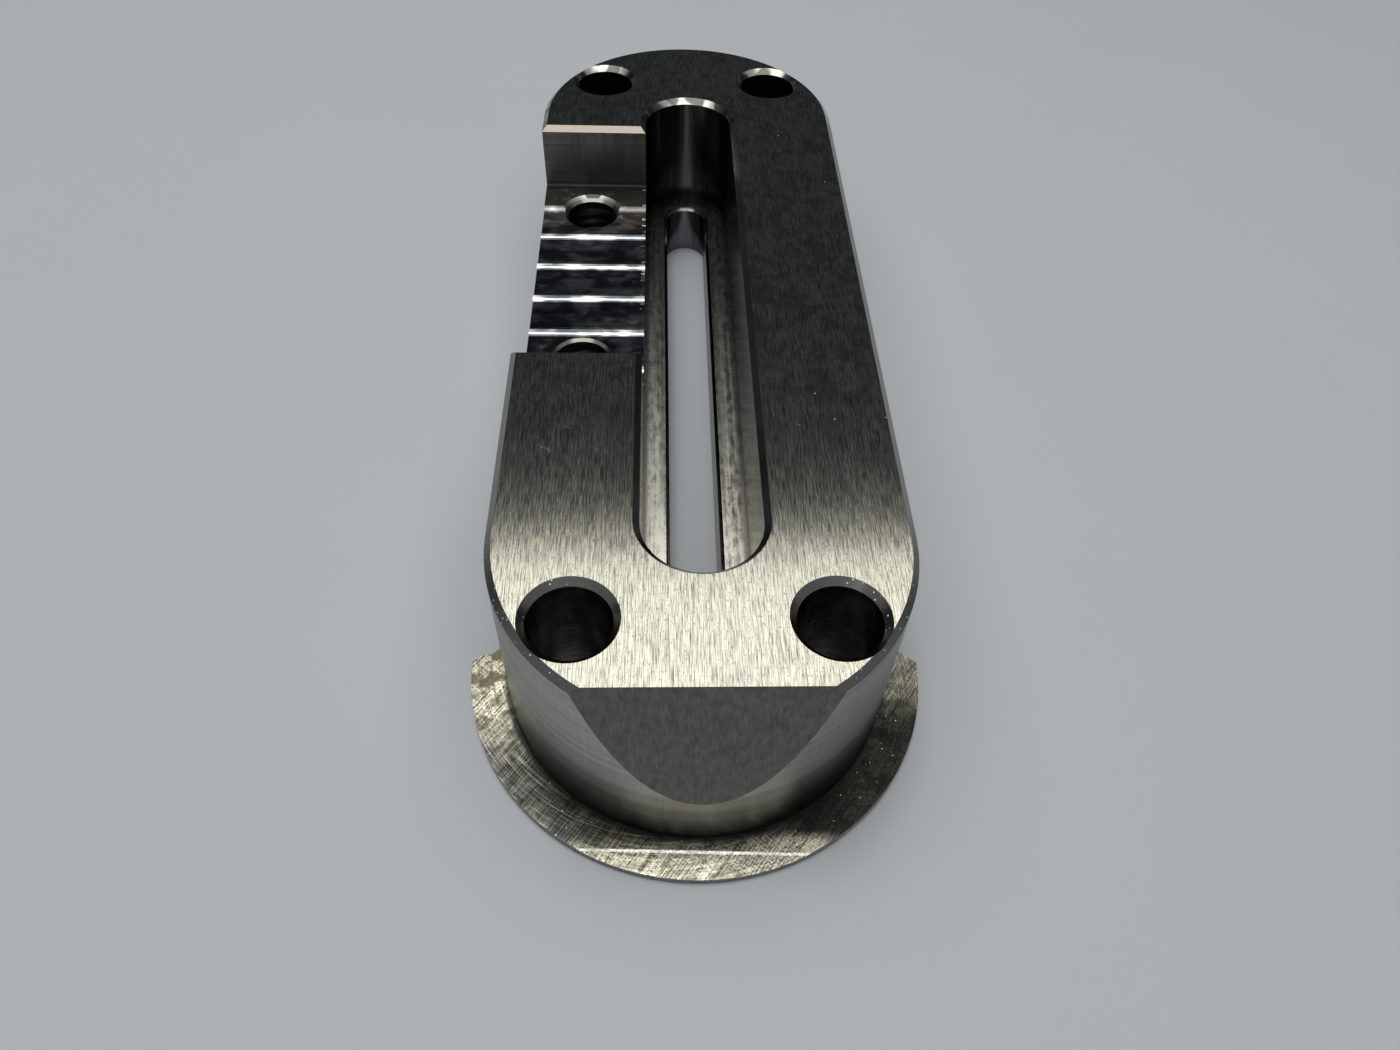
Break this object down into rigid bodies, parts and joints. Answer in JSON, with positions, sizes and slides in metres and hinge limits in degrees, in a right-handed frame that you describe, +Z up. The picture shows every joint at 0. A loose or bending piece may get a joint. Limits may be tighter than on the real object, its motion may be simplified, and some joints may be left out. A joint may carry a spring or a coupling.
{
  "type": "cnc machined slotted block",
  "caption": "Round-ended milled metal block with a stepped lengthwise slot, a notch open to one side, countersunk screw holes at its corners and a thin web at one foot.",
  "frame": {"origin": "on the underside, at the middle of the four corner screw holes", "axes": "+Z up out of the face with the wide slot, +Y along the block away from the inclined end, +X to the side away from the notch"},
  "size_m": [0.036, 0.0898, 0.017],
  "materials": {
    "milled_aluminium": "bare milled metal: brushed top, satin sides, scratched web"
  },
  "bodies": {
    "root": {"slotted_block": "milled_aluminium"}
  },
  "joints": []
}
